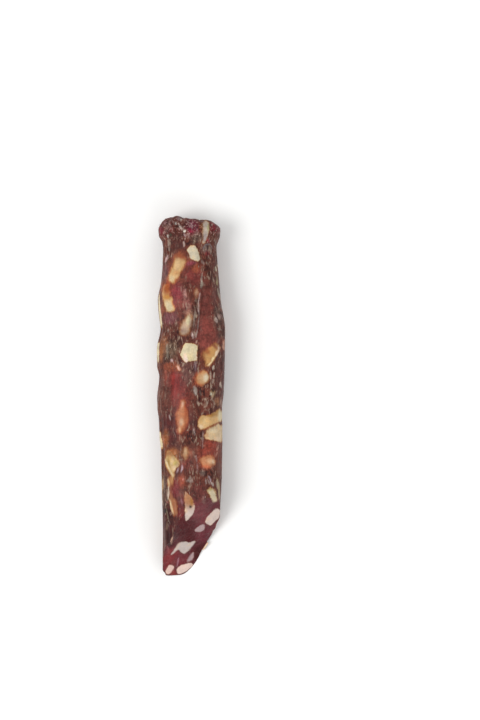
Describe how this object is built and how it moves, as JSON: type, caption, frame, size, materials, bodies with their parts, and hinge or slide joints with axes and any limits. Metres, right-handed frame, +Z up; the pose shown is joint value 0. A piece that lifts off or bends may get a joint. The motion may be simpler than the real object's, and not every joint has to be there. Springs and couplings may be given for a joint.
{
  "type": "cured sausage",
  "caption": "Slim air-dried sausage in a wrinkled casing, with a blunt puckered end and a long slanting cut that shows coarse fat and lean.",
  "frame": {"origin": "middle of the overall length and width, on the flat strip that the sausage rests on", "axes": "+Y along the sausage towards its blunt end, +Z up, +X to the right seen from above with the blunt end away from the viewer; the slanting cut faces -Y, +X and +Z"},
  "size_m": [0.0438, 0.231, 0.0359],
  "materials": {
    "sausage": "satin"
  },
  "bodies": {
    "root": {"sausage": "sausage"}
  },
  "joints": []
}
